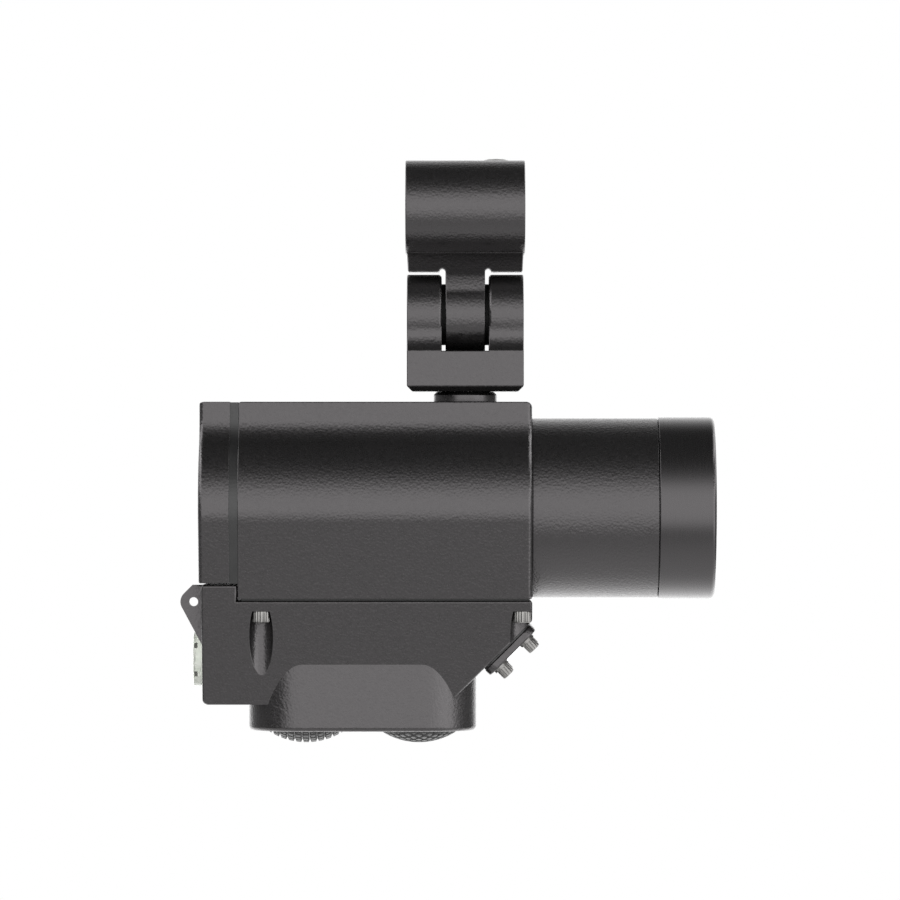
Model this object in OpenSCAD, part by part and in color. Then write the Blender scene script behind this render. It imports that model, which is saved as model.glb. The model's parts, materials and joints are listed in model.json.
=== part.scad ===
// Firefighter's helmet light: a spot head, a flood lamp that looks down at 45 degrees, a rear
// marker lens, two push buttons, and a clamp that tilts and swivels under a helmet brim.
// Millimetres. +X is the beam, +Z is up. The origin is the middle of the brim throat, on the
// swivel axis.

/* [Brim clamp] */
// Height of the throat that takes the helmet brim
throat_h = 8; // [6.5:0.1:9]
// Depth of the throat behind the swivel axis
throat_back = 3; // [2:0.1:4]
// Outer radius of the clamp's round back
lobe_r = 8.9; // [8.2:0.1:10]
// Width of the clamp along the beam
clamp_w = 22.7; // [21.5:0.1:27]
// Reach of the jaws in front of the swivel axis
jaw_reach = 13; // [11:0.1:16]
// Bevel at the tips of the jaws
jaw_bevel = 2; // [0.5:0.1:2.5]
// Width of the foot under the clamp's round back, at its lower edge
foot_w = 21.7; // [18:0.1:22.5]
// Draft of the foot's ends over its height
foot_draft = 0.2; // [0.1:0.1:1]
// Radius of the swell from the waist under the round back down to the knuckle
flare_r = 15; // [12:0.5:18]
// Foot's underside down to the deepest place of the neck
flare_drop = 6.25; // [5.5:0.05:7]
// Diameter of the two clamp screws
clamp_screw_d = 6; // [5:0.1:6.5]
// Length of a clamp screw without its crown
clamp_screw_l = 5.35; // [4.8:0.05:5.6]
// Distance between the two clamp screws
clamp_screw_pitch = 11.8; // [10:0.1:13]
// Clamp screws in front of the swivel axis
clamp_screw_y = 4.5; // [4:0.1:6]
// Height of the crown on a clamp screw
crown_h = 0.65; // [0.3:0.05:1]
// Crown of the right screw above the clamp
screw_proud = 0.6; // [0.2:0.05:0.9]
// How much further in the left clamp screw is set
left_screw_depth = 1; // [0:0.1:1.3]
// Hexagon socket in a clamp screw, across flats
clamp_key = 3; // [2:0.1:3.5]
// Depth of that socket
clamp_key_depth = 2.2; // [1.5:0.1:3]
// Diameter of a clamp pad
pad_d = 8; // [6:0.1:9]
// Thickness of a clamp pad
pad_t = 1.3; // [1.1:0.05:1.6]

/* [Tilt hinge] */
// Throat centre down to the hinge axis
pivot_drop = 20.4; // [19:0.05:24]
// Radius of the fork's ears
ear_r = 7.6; // [7.2:0.1:8]
// Bevel on the inner edge of an ear
ear_bevel = 0.4; // [0.2:0.1:1.2]
// Radius of the hollow from an ear to the edge of the base
ear_hollow = 4.3; // [3.5:0.1:4.8]
// Slit between the ears and the clamp's foot
foot_slit = 0.45; // [0.35:0.05:1]
// Width of the fork along the beam
fork_w = 22.1; // [20:0.1:24]
// Depth of the fork's base, front to back
fork_d = 17.2; // [16:0.1:18]
// Height of the fork's base
fork_base_h = 7.65; // [7.2:0.05:11]
// Bevel round the underside of the fork's base
fork_bevel = 1; // [0.3:0.1:1.2]
// Slot between the ears
fork_slot = 8.9; // [8.6:0.1:10]
// Width of the clamp's tongue between the ears
tongue_w = 7.5; // [6.5:0.1:7.7]
// Depth of the tongue's neck, front to back
neck_d = 11.9; // [10.5:0.1:12.4]
// Radius of the tongue's knuckle
knuckle_r = 7.2; // [6.4:0.1:7.4]
// Gap round the knuckle in the trough of the fork's base
knuckle_gap = 0.35; // [0.25:0.05:0.6]
// Fork's base up to the hinge axis
hinge_rise = 6.95; // [6.6:0.05:7.2]
// Diameter of the hinge bolt
hinge_bolt_d = 4; // [3:0.1:4.5]
// Diameter of the hinge bolt's head
hinge_head_d = 7; // [6:0.1:7.5]
// Height of the hinge bolt's head
hinge_head_h = 2.8; // [2:0.1:3.2]
// Hexagon nut of the hinge bolt, across flats
hinge_nut_af = 7; // [6:0.1:7.5]
// Diameter of the friction washers
washer_d = 11.6; // [9:0.1:12.6]
// Depth of the tongue's seats for the friction washers
washer_seat = 0.2; // [0.15:0.05:0.5]

/* [Swivel] */
// Diameter of the swivel collar
collar_d = 12; // [10:0.1:14]
// Height of the swivel collar
collar_h = 2; // [1.4:0.05:2.6]
// Bevel on the upper edge of the swivel collar
collar_bevel = 0.6; // [0.3:0.1:0.8]
// Diameter of the swivel screw
swivel_screw_d = 4; // [3:0.1:5]
// Diameter of the swivel screw's head
swivel_head_d = 7.2; // [6.5:0.1:8]
// Height of the swivel screw's head
swivel_head_h = 2.8; // [2:0.1:3.2]
// Depth of the swivel screw in the roof
swivel_bite = 7; // [5:0.1:8.5]

/* [Housing section] */
// Optical axis up to the flat roof
roof_h = 20.1; // [19.5:0.1:23]
// Width of the flat roof rail
rail_w = 21; // [18:0.1:23]
// Radius of the round flanks
flank_r = 15.5; // [14.6:0.1:16.5]
// Radius of the flanks below their widest place
flank_low_r = 9; // [7:0.5:12]
// Thinnest wall beside the cells
bay_wall = 1.8; // [1.2:0.1:3]
// Radius of the hollow blend from flank to rail
blend_r = 6; // [4.5:0.1:7]
// Inward lean of the lower walls, in degrees
lean = 17.2; // [15:0.1:20]
// Wall of the housing under the barrel's spigot
bore_floor = 2.45; // [2:0.05:3.5]
// Optical axis down to the door's lower edge
door_drop = 14.05; // [13.6:0.05:15]
// Optical axis down to the housing's floor
floor_drop = 37.1; // [35.5:0.1:40]

/* [Housing length] */
// Swivel axis to the front face of the housing
front_x = 12.6; // [11:0.1:14]
// Depth of the barrel's spigot in the housing
spigot_l = 9; // [7:0.1:11]
// Partition between the battery bay and the head
partition_t = 4.95; // [3:0.05:7]
// Thickness of the battery door
door_t = 5.8; // [5:0.1:8]
// Thickness of the door's gasket
door_gasket_t = 1.6; // [1:0.1:2.2]
// Depth of the door's plug in the battery bay
plug_l = 2; // [1.5:0.1:3]
// Thickness of the gasket in the seam
seam_gasket_t = 0.4; // [0.3:0.05:0.8]
// Step from the door's rear face to the lower housing's
heel_step = 0.5; // [0.1:0.1:1]

/* [Batteries] */
// Diameter of a cell
cell_d = 16.8; // [15.5:0.1:17]
// Length of a cell
cell_l = 34.5; // [33:0.1:36.5]
// Length of a pressed contact spring
spring_l = 2.65; // [2:0.05:4]
// Thickness of the contact board
contact_board_t = 1.4; // [1:0.1:2]
// Thickness of the door's contact bridge
bridge_t = 0.4; // [0.3:0.05:0.8]

/* [Head] */
// Radius of the barrel
barrel_r = 17; // [16.6:0.1:18]
// Length of the barrel
barrel_l = 23.85; // [21:0.05:28]
// Bezel ring standing out from the barrel
bezel_proud = 0.2; // [0.1:0.05:1]
// Length of the bezel ring
bezel_l = 10.75; // [9.5:0.05:13]
// Rounding of the bezel ring's front edge
bezel_round = 0.9; // [0.3:0.1:1.2]
// Lip of the bezel ring in front of the lens
lip_t = 1.7; // [1.4:0.1:2.4]
// Step from the barrel down to the threaded nose under the bezel ring
nose_step = 1.4; // [1:0.1:2]
// Wall of the nose round the reflector
nose_wall = 1.6; // [1.2:0.1:2]
// Rim of the lens on the nose
lens_land = 0.9; // [0.5:0.1:1.2]
// Grip of the bezel ring's lip on the lens
lens_grip = 1.5; // [1:0.1:2.5]
// Radius of the barrel's spigot
spigot_r = 14.5; // [14:0.1:15]
// Radius of the heat sink
sink_r = 12; // [10:0.1:12.8]
// Thickness of the front lens
lens_t = 2; // [1.5:0.1:2.6]
// Thickness of the lens gasket
lens_gasket_t = 0.6; // [0.4:0.05:1]
// Width of the reflector's rim
rim_w = 0.8; // [0.5:0.1:1.2]
// Depth of the reflector from its rim to its throat
reflector_l = 20.15; // [18:0.05:21]
// Radius of the reflector's throat
reflector_throat_r = 3.6; // [3:0.1:4.5]
// Wall of the reflector
reflector_wall = 0.9; // [0.5:0.05:1.2]
// Radius of the lamp's star board
star_r = 8; // [6.5:0.1:10]
// Thickness of the lamp's star board
star_t = 1.5; // [1:0.1:2]

/* [Lower housing] */
// Space between the flood bezel's lower end and the button boss
boss_gap = 1.4; // [0.5:0.05:3]
// Wall of the button boss at its ends
boss_end_wall = 2.05; // [1.2:0.05:3]
// Wall of the button boss at its sides
boss_side_wall = 1.5; // [1.2:0.1:2]
// Height of the button boss under the floor
boss_h = 5.05; // [4.5:0.05:6.5]
// Rounding of the lower rear corner
rear_round = 1; // [0.4:0.1:1.4]
// Rounding of the boss's lower edge
boss_round = 0.9; // [0.3:0.1:1.2]
// Width of the space for the switch board
cavity_w = 14; // [12.5:0.1:15]
// Length of the space for the switch board
cavity_l = 32.5; // [31:0.1:34]
// Shelf on each side under the switch board
shelf_w = 1; // [0.5:0.1:1.4]
// Floor of the housing up to the switch board
board_rise = 6; // [5.8:0.1:7]
// Thickness of the switch board
board_t = 1.6; // [1:0.1:2]
// Seam down to the flood face's upper edge
flood_drop = 4.2; // [3.8:0.1:5.5]
// Floor of the housing up to the rear lens's centre
rear_lens_rise = 8.4; // [7:0.1:10]
// Radius of the rear lens
rear_lens_r = 5.1; // [4.5:0.1:6]
// Rear lens standing out of the housing
rear_lens_proud = 2.4; // [1:0.1:3]
// Rear lens inside the housing
rear_lens_seat = 2; // [1.5:0.1:2.5]
// Thickness of the rear marker board
rear_board_t = 1.2; // [0.8:0.1:1.6]

/* [Lanyard ear] */
// Thickness of the ear
ear_t = 2; // [1.5:0.1:3]
// Outer face of the ear beside the middle plane
ear_y = 8; // [7:0.1:10]
// Reach of the ear's tip behind the housing
ear_reach = 4.15; // [3.5:0.05:5]
// Height of the ear along the housing
ear_h = 11.5; // [10:0.1:14]
// Diameter of the lanyard hole
lanyard_d = 1.7; // [1.2:0.1:2.4]
// Lanyard hole behind the housing
lanyard_x = 1.65; // [1.5:0.05:2.4]
// Lanyard hole below the ear's top
lanyard_drop = 3.2; // [3:0.1:4.5]

/* [Push buttons] */
// Distance between the two buttons
button_pitch = 21.4; // [20.5:0.1:22]
// Diameter of a button where it leaves the boss
button_d = 15; // [13.5:0.1:15.4]
// Height of a button's dome
dome_h = 2.35; // [1.5:0.05:3]
// Travel of a button
button_travel = 1.2; // [0.8:0.05:1.3]
// Width of the flange that keeps a button in
button_flange = 1; // [0.6:0.05:1.1]
// Thickness of the boss under the flange
ledge_t = 2.2; // [1.6:0.1:2.4]

/* [Flood lamp] */
// Length of the flood bezel down the slope
flood_l = 12.1; // [11.4:0.1:12.8]
// Width of the flood bezel
flood_w = 19; // [18.4:0.1:20]
// Thickness of the flood bezel
flood_t = 1.5; // [1:0.1:2]
// Radius of the flood bezel's corners
flood_corner_r = 2.2; // [0.8:0.1:2.5]
// Thickness of the flood gasket
flood_gasket_t = 0.3; // [0.2:0.05:0.6]
// Bar of the flood bezel above and below its window
flood_end_bar = 2.05; // [1.8:0.05:3]
// Bar of the flood bezel on each side of its window
flood_side_bar = 4.3; // [4:0.1:5]
// Flood lens standing out of its bezel
flood_lens_proud = 0.65; // [0.2:0.05:1]
// Flange of the flood lens under the bezel
flood_lens_flange = 0.8; // [0.5:0.1:0.9]
// Flood screws in from the bezel's upper and lower edges
flood_screw_end = 2.65; // [2:0.05:3.2]
// Flood screws in from the bezel's sides
flood_screw_side = 1.8; // [1.5:0.1:2.2]
// Thickness of the flood lamp's board
flood_board_t = 1.2; // [0.8:0.1:1.6]

/* [Small screws] */
// Diameter of the housing and door screws
screw_d = 2; // [1.6:0.1:2.2]
// Head diameter of the housing and door screws
screw_head_d = 3.56; // [3:0.02:3.8]
// Head height of the housing and door screws
screw_head_h = 2.1; // [1.6:0.1:2.4]
// Bite of the housing and door screws
screw_bite = 5; // [4:0.1:6]
// Radius of the channels for the housing screws
channel_r = 2.2; // [2:0.05:2.5]
// Diameter of the flood screws
flood_screw_d = 1.6; // [1.2:0.1:1.8]
// Head diameter of the flood screws
flood_head_d = 2.5; // [2.2:0.1:2.8]
// Head height of the flood screws
flood_head_h = 1.9; // [1.2:0.1:2.2]

/* [Hidden] */
$fn = 96;

// Clearances, room past the end of a screw, and the spare length of a cut
run_fit = 0.05;
slip = 0.15;
end_room = 0.5;
spare = 2;

// Heights in the clamp's frame
pivot_z = -pivot_drop;
foot_z = pivot_z + ear_r + foot_slit;
fork_floor_z = pivot_z - hinge_rise;
fork_bottom_z = fork_floor_z - fork_base_h;
roof_z = fork_bottom_z - collar_h;
lamp_z = roof_z - roof_h;
swivel_sink = 0.7;
swivel_seat_z = fork_floor_z - swivel_head_h - swivel_sink;
washer_t = (fork_slot - tongue_w) / 2 + washer_seat - run_fit;
hinge_sink = 0.3;
hinge_recess = hinge_head_h + hinge_sink;

// Front of the clamp's neck: a slope out of the round back, then a swell
slope_angle = 36;
flare_angle = asin(flare_drop / flare_r);
flare_at = [flare_r - neck_d / 2, foot_z - flare_drop];
slope_foot = flare_at + flare_r * [-cos(flare_angle), sin(flare_angle)];
waist_z = -lobe_r + 1.2;
waist_y = slope_foot.x + (waist_z - slope_foot.y) * tan(slope_angle);

// Lengths along the beam, in the lamp's frame
cell_gap = 0.4;
cell_y = (cell_d + cell_gap) / 2;
bay_r = cell_y;
plug_front = plug_l + bridge_t + run_fit;
bay_depth = plug_front + cell_l + spring_l + 2 * run_fit + contact_board_t;
spigot_gap = 0.3;
bore_depth = spigot_l + spigot_gap;
housing_rear_x = front_x - bore_depth - partition_t - bay_depth;
bay_front_x = housing_rear_x + bay_depth;
door_front_x = housing_rear_x - door_gasket_t;
door_rear_x = door_front_x - door_t;
cell_rear_x = housing_rear_x + plug_front;
lower_rear_x = door_rear_x + heel_step;
heel_gap = 0.2;
barrel_front_x = front_x + barrel_l;
bezel_front_x = barrel_front_x + bezel_l;
lens_x = bezel_front_x - lip_t - lens_t;
nose_x = lens_x - lens_gasket_t;

// Radii of the head
bezel_r = barrel_r + bezel_proud;
nose_r = barrel_r - nose_step;
head_bore_r = nose_r - nose_wall;
lens_r = head_bore_r + lens_land;
aperture_r = lens_r - lens_grip;
rim_r = head_bore_r - rim_w;

// Reflector and lamp along the beam
emitter_room = 0.9;
throat_x = nose_x - reflector_l;
focus = (rim_r * rim_r - reflector_throat_r * reflector_throat_r) / (4 * reflector_l);
reflector_x = nose_x - rim_r * rim_r / (4 * focus);
star_x = throat_x - emitter_room - star_t;

// Heights in the lamp's frame
door_gap = 0.4;
seam_z = -(spigot_r + run_fit + bore_floor);
door_z = -door_drop;
heel_z = door_z - door_gap;
lower_top_z = seam_z - seam_gasket_t;
floor_z = -floor_drop;
boss_z = floor_z - boss_h;
flood_z = seam_z - flood_drop;
shelf_z = floor_z + board_rise;
rear_lens_z = floor_z + rear_lens_rise;
seat_t = 2;
screw_seat_z = lower_top_z - seat_t;

// Outline of the housing
rail_hw = rail_w / 2;
flank_y = 2 * bay_r + bay_wall - flank_r;
blend_y = rail_hw + blend_r;
blend_reach = flank_r + blend_r;
blend_angle = acos((blend_y - flank_y) / blend_reach);
blend_z = blend_reach * sin(blend_angle);
flank_low_y = flank_y + flank_r - flank_low_r;
wall_top_y = flank_low_y + flank_low_r * cos(lean);
wall_top_z = -flank_low_r * sin(lean);
function wall_y(z) = wall_top_y + (z - wall_top_z) * tan(lean);
function wall_z(y) = wall_top_z - (wall_top_y - y) / tan(lean);

// Places of the small screws
screw_in = 2.27;
rear_screw_in = 4.3;
front_screw_in = 1.95;
screw_y = wall_y(seam_z) - screw_in;
screw_xs = [housing_rear_x + rear_screw_in, front_x - front_screw_in];
door_screw_top = (roof_h + bay_r) / 2;
door_screw_y = 9.5;
door_screw_edge = 0.55;
door_screw_z = door_z + screw_head_d / 2 + door_screw_edge;
head_sink = 0.2;
head_recess = screw_head_h + head_sink;
door_screws_at = [[0, door_screw_top], [-door_screw_y, door_screw_z], [door_screw_y, door_screw_z]];

// Flood lamp on the slope: the pocket behind the window and the layers above the face
flood_gap = 0.8;
flood_centre = flood_gap + flood_l / 2;
flood_foot_x = front_x - (flood_gap + flood_l) * cos(45);
window_l = flood_l - 2 * flood_end_bar;
window_w = flood_w - 2 * flood_side_bar;
pocket_l = window_l + 2 * flood_lens_flange;
pocket_w = window_w + 2 * flood_lens_flange;
lens_flange_t = 0.9;
led_room = 1.5;
flood_led_h = 0.7;
pocket_depth = lens_flange_t + led_room + flood_board_t;
flood_top = flood_gasket_t + flood_t;
flood_bite = 4;
flood_washer_t = 0.5;
flood_washer_rim = 0.35;

// Buttons, their boss and their switches
button_r = button_d / 2;
chamber_r = button_r + button_flange + 2 * slip;
boss_r = chamber_r + boss_side_wall;
boss_l = button_pitch + 2 * (chamber_r + boss_end_wall);
boss_x = flood_foot_x - boss_gap - boss_l / 2;
button_xs = [boss_x - button_pitch / 2, boss_x + button_pitch / 2];
flange_z = boss_z + ledge_t + slip;
flange_t = 1.2;
chamber_room = 0.25;
chamber_z = flange_z + flange_t + button_travel + chamber_room;
switch_w = 6;
switch_h = 3.5;
switch_room = 1.45;
nub_r = 1.75;
nub_h = 0.7;
plunger_gap = 0.1;
plunger_z = shelf_z - switch_h - nub_h - button_travel - plunger_gap;
well_l = button_pitch + switch_w + 2 * switch_room;

// Rear lamp
rear_led_room = 1.4;
rear_lens_ledge = 0.8;
rear_bore_depth = rear_lens_seat + rear_led_room + rear_board_t;
rear_well_r = rear_lens_r - rear_lens_ledge;

casting_black = [0.13, 0.13, 0.14];
smooth_black = [0.1, 0.1, 0.11];
rubber_black = [0.07, 0.07, 0.07];
steel = [0.72, 0.72, 0.73];
brass = [0.78, 0.62, 0.3];
board_green = [0.1, 0.32, 0.18];
clear = [0.85, 0.92, 0.95];
lamp_yellow = [0.95, 0.85, 0.35];

// The lamp's own frame: its middle is on the optical axis under the swivel
module lamp() {
    translate([0, 0, lamp_z]) children();
}

// The flood lamp's frame: +X down the slope, +Z out of the face
module flood() {
    slope = flood_centre * cos(45);
    lamp() translate([front_x - slope, 0, flood_z - slope]) rotate([0, 135, 0]) children();
}

// A flat outline of Y and Z, drawn out along the beam
module along_x(x0, x1) {
    translate([x0, 0, 0]) rotate([90, 0, 90]) linear_extrude(x1 - x0) children();
}

// A flat outline of X and Z, drawn out across the beam
module along_y(y0, y1) {
    translate([0, y1, 0]) rotate([90, 0, 0]) linear_extrude(y1 - y0) children();
}

module rod_x(r, x0, x1) {
    translate([x0, 0, 0]) rotate([0, 90, 0]) cylinder(r = r, h = x1 - x0);
}

// An outline of radius and X, turned round the beam
module turned() {
    rotate([0, 90, 0]) rotate_extrude() children();
}

module box(x0, x1, w, z0, z1) {
    translate([x0, -w / 2, z0]) cube([x1 - x0, w, z1 - z0]);
}

module slab(l, w, z0, z1) {
    translate([-l / 2, -w / 2, z0]) cube([l, w, z1 - z0]);
}

// A slab with round corners
module plate(l, w, r, z0, z1) {
    slab(l - 2 * r, w, z0, z1);
    slab(l, w - 2 * r, z0, z1);
    for (end = [-1, 1], side = [-1, 1]) translate([end * (l / 2 - r), side * (w / 2 - r), z0])
        cylinder(r = r, h = z1 - z0);
}

// Points of an arc about a centre
function arc(centre, r, from, to, steps) = [
    for (i = [0 : steps]) let (angle = from + (to - from) * i / steps) centre + r * [cos(angle), sin(angle)]
];

// Cross-section of the housing: flat rail, hollow blends, round flanks and leaning walls
module housing_outline(inset = 0) {
    half = concat(
        [[rail_hw - inset, roof_h - inset]],
        arc([blend_y, blend_z], blend_r + inset, 180, 180 + blend_angle, 14),
        arc([flank_y, 0], flank_r - inset, blend_angle, 0, 18),
        arc([flank_low_y, 0], flank_low_r - inset, -lean / 6, -lean, 5),
        [[wall_y(floor_z) - inset / cos(lean), floor_z]]
    );
    last = len(half) - 1;
    polygon(concat(half, [for (i = [last : -1 : 0]) [-half[i].x, half[i].y]]));
}

module housing_band(z0, z1, inset = 0) {
    intersection() {
        housing_outline(inset);
        translate([-2 * wall_top_y, z0]) square([4 * wall_top_y, z1 - z0]);
    }
}

// Two round cells side by side
module bay_outline(gap = 0) {
    translate([-cell_y, gap - bay_r]) square([2 * cell_y, 2 * (bay_r - gap)]);
    for (side = [-1, 1]) translate([side * cell_y, 0]) circle(bay_r - gap);
}

// A screw that stands on its head at z = 0, with its shank up and its head down
module cap_screw(d, head_d, head_h, bite, key) {
    cylinder(d = d, h = bite);
    difference() {
        translate([0, 0, -head_h]) cylinder(d = head_d, h = head_h);
        translate([0, 0, -head_h - spare]) cylinder(d = key, h = spare + head_h * 0.55, $fn = 6);
    }
}

module brim_clamp() {
    color(casting_black) difference() {
        union() {
            along_x(-clamp_w / 2, clamp_w / 2) difference() {
                union() {
                    circle(lobe_r);
                    polygon([
                        [0, -lobe_r], [jaw_reach - jaw_bevel, -lobe_r],
                        [jaw_reach, jaw_bevel - lobe_r], [jaw_reach, lobe_r - jaw_bevel],
                        [jaw_reach - jaw_bevel, lobe_r], [0, lobe_r]
                    ]);
                }
                throat_outline();
            }
            intersection() {
                along_x(-foot_w, foot_w) neck_outline();
                along_y(-neck_d, neck_d) foot_end_outline();
            }
            along_x(-tongue_w / 2, tongue_w / 2) {
                neck_outline();
                translate([0, pivot_z]) circle(knuckle_r);
            }
        }
        for (side = [-1, 1]) {
            translate([side * clamp_screw_pitch / 2, clamp_screw_y, 0])
                cylinder(d = clamp_screw_d + 2 * run_fit, h = lobe_r + spare);
            foot_relief(side);
        }
        translate([0, 0, pivot_z]) {
            rod_x(hinge_bolt_d / 2 + run_fit, -tongue_w, tongue_w);
            for (side = [0, 1]) mirror([side, 0, 0])
                rod_x(washer_d / 2 + slip, tongue_w / 2 - washer_seat, fork_slot);
        }
    }
}

module throat_outline() {
    middle = throat_h / 2 - throat_back;
    translate([middle, 0]) circle(throat_h / 2);
    translate([middle, -throat_h / 2]) square([jaw_reach + spare, throat_h]);
}

// Side view of the neck down to the hinge axis: swelling in front, straight behind
module neck_outline() {
    polygon(concat(
        [[neck_d / 2, pivot_z], [neck_d / 2, waist_z], [waist_y, waist_z]],
        arc(flare_at, flare_r, 180 - flare_angle, 180, 6),
        [[-neck_d / 2, pivot_z]]
    ));
}

// Front view of the foot: ends that draw in towards its lower edge
module foot_end_outline() {
    top = foot_w / 2 + foot_draft;
    polygon([
        [-foot_w / 2, foot_z], [foot_w / 2, foot_z], [top, -lobe_r], [top, 0], [-top, 0], [-top, -lobe_r]
    ]);
}

// Round relief in the foot beside the tongue
module foot_relief(side) {
    relief_r = 0.6;
    translate([side * (tongue_w / 2 + relief_r), neck_d, foot_z])
        rotate([90, 0, 0]) cylinder(r = relief_r, h = 2 * neck_d);
}

pin_d = 2.4;
pin_l = 0.8;
screw_foot_z = lobe_r + screw_proud - crown_h - clamp_screw_l;

module clamp_screw(side, depth) {
    r = clamp_screw_d / 2;
    crown_r = (r * r + crown_h * crown_h) / (2 * crown_h);
    color(steel) translate([side * clamp_screw_pitch / 2, clamp_screw_y, screw_foot_z - depth])
        difference() {
            union() {
                translate([0, 0, -pin_l]) cylinder(d = pin_d, h = pin_l + 1);
                cylinder(r = r, h = clamp_screw_l);
                intersection() {
                    translate([0, 0, clamp_screw_l + crown_h - crown_r]) sphere(crown_r);
                    translate([0, 0, clamp_screw_l - crown_h]) cylinder(r = r, h = 2 * crown_h);
                }
            }
            translate([0, 0, clamp_screw_l - clamp_key_depth])
                cylinder(d = clamp_key / cos(30), h = clamp_key_depth + spare, $fn = 6);
        }
}

module clamp_pad(side, depth) {
    top = screw_foot_z - depth - run_fit;
    color(rubber_black) translate([side * clamp_screw_pitch / 2, clamp_screw_y, top - pad_t])
        difference() {
            cylinder(d = pad_d, h = pad_t);
            translate([0, 0, pad_t - pin_l]) cylinder(d = pin_d + 2 * run_fit, h = pin_l + spare);
        }
}

module clamp_screw_right() { clamp_screw(1, 0); }
module clamp_screw_left() { clamp_screw(-1, left_screw_depth); }
module clamp_pad_right() { clamp_pad(1, 0); }
module clamp_pad_left() { clamp_pad(-1, left_screw_depth); }

module tilt_fork() {
    hw = fork_w / 2;
    ear_in = fork_slot / 2;
    color(casting_black) difference() {
        union() {
            intersection() {
                along_y(-fork_d / 2, fork_d / 2) fork_base_outline(hw);
                along_x(-hw, hw) fork_base_outline(fork_d / 2);
            }
            for (side = [0, 1]) mirror([side, 0, 0]) {
                along_x(ear_in, hw) ear_root_outline();
                translate([0, 0, pivot_z]) {
                    rod_x(ear_r, ear_in + ear_bevel, hw);
                    translate([ear_in, 0, 0]) rotate([0, 90, 0])
                        cylinder(r1 = ear_r - ear_bevel, r2 = ear_r, h = ear_bevel);
                }
            }
        }
        translate([0, 0, pivot_z]) {
            rod_x(knuckle_r + knuckle_gap, -ear_in, ear_in);
            rod_x(hinge_bolt_d / 2 + run_fit, -fork_w, fork_w);
            rod_x(hinge_head_d / 2 + slip, hw - hinge_recess, hw + spare);
            translate([-hw - spare, 0, 0]) rotate([0, 90, 0])
                cylinder(d = (hinge_nut_af + slip) / cos(30), h = hinge_recess + spare, $fn = 6);
        }
        translate([0, 0, fork_bottom_z - spare])
            cylinder(d = swivel_screw_d + 2 * run_fit, h = fork_base_h + 2 * spare);
        translate([0, 0, swivel_seat_z]) cylinder(d = swivel_head_d + 4 * slip, h = swivel_head_h + spare);
    }
}

// Side view of an ear's root: hollows that run from the round ear to the edges of the base
module ear_root_outline() {
    leave = 17.5;
    from = pivot_z - ear_r * sin(leave);
    away = (ear_r + ear_hollow) * [cos(leave), -sin(leave)];
    difference() {
        translate([-fork_d / 2, fork_floor_z - 1]) square([fork_d, from - fork_floor_z + 1]);
        for (side = [-1, 1]) translate([side * away.x, pivot_z + away.y]) circle(ear_hollow);
    }
}

// Side view of the fork's base, bevelled under
module fork_base_outline(half) {
    polygon([
        [-half, fork_floor_z], [-half, fork_bottom_z + fork_bevel], [-half + fork_bevel, fork_bottom_z],
        [half - fork_bevel, fork_bottom_z], [half, fork_bottom_z + fork_bevel], [half, fork_floor_z]
    ]);
}

module tilt_bolt() {
    hw = fork_w / 2;
    seat = hw - hinge_recess;
    color(steel) translate([0, 0, pivot_z]) difference() {
        union() {
            rod_x(hinge_bolt_d / 2, -hw + hinge_sink, seat + run_fit);
            rod_x(hinge_head_d / 2, seat + run_fit, seat + hinge_head_h);
        }
        translate([seat + 1.2, 0, 0]) rotate([0, 90, 0])
            cylinder(d = hinge_bolt_d * 0.85, h = hinge_head_h + spare, $fn = 6);
    }
}

module tilt_nut() {
    hw = fork_w / 2;
    color(steel) translate([0, 0, pivot_z]) difference() {
        translate([-hw + hinge_sink, 0, 0]) rotate([0, 90, 0])
            cylinder(d = hinge_nut_af / cos(30), h = hinge_head_h - run_fit, $fn = 6);
        rod_x(hinge_bolt_d / 2 + run_fit, -fork_w, 0);
    }
}

module friction_washers() {
    color(rubber_black) for (side = [0, 1]) mirror([side, 0, 0])
        translate([0, 0, pivot_z]) difference() {
            rod_x(washer_d / 2, fork_slot / 2 - washer_t, fork_slot / 2);
            rod_x(hinge_bolt_d / 2 + run_fit, 0, fork_w);
        }
}

module swivel_collar() {
    color(smooth_black) translate([0, 0, roof_z]) difference() {
        union() {
            cylinder(d = collar_d, h = collar_h - run_fit - collar_bevel);
            translate([0, 0, collar_h - run_fit - collar_bevel])
                cylinder(d1 = collar_d, d2 = collar_d - 2 * collar_bevel, h = collar_bevel);
        }
        translate([0, 0, -spare]) cylinder(d = swivel_screw_d + 2 * run_fit, h = collar_h + 2 * spare);
    }
}

module swivel_screw() {
    under_head = swivel_seat_z + run_fit;
    color(steel) difference() {
        union() {
            translate([0, 0, roof_z - swivel_bite])
                cylinder(d = swivel_screw_d, h = under_head - roof_z + swivel_bite);
            translate([0, 0, under_head]) cylinder(d = swivel_head_d, h = swivel_head_h);
        }
        translate([0, 0, under_head + 1.2])
            cylinder(d = swivel_screw_d * 0.85, h = swivel_head_h + spare, $fn = 6);
    }
}

module upper_housing() {
    wire_port_r = 1.2;
    color(casting_black) lamp() difference() {
        along_x(housing_rear_x, front_x) housing_band(seam_z, roof_h);
        along_x(housing_rear_x - spare, bay_front_x) bay_outline();
        rod_x(spigot_r + run_fit, front_x - bore_depth, front_x + spare);
        translate([0, 0, roof_h - swivel_bite - end_room])
            cylinder(d = swivel_screw_d + 2 * run_fit, h = swivel_bite + spare);
        translate([bay_front_x - contact_board_t - spring_l / 2, 0, seam_z - spare])
            cylinder(r = wire_port_r, h = spare - seam_z - bay_r + 1);
        for (x = screw_xs, side = [-1, 1]) translate([x, side * screw_y, seam_z - spare])
            cylinder(d = screw_d + 2 * run_fit, h = spare + screw_bite + end_room);
        for (at = door_screws_at) translate([0, at.x, at.y])
            rod_x(screw_d / 2 + run_fit, housing_rear_x - spare, housing_rear_x + screw_bite + end_room);
    }
}

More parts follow.
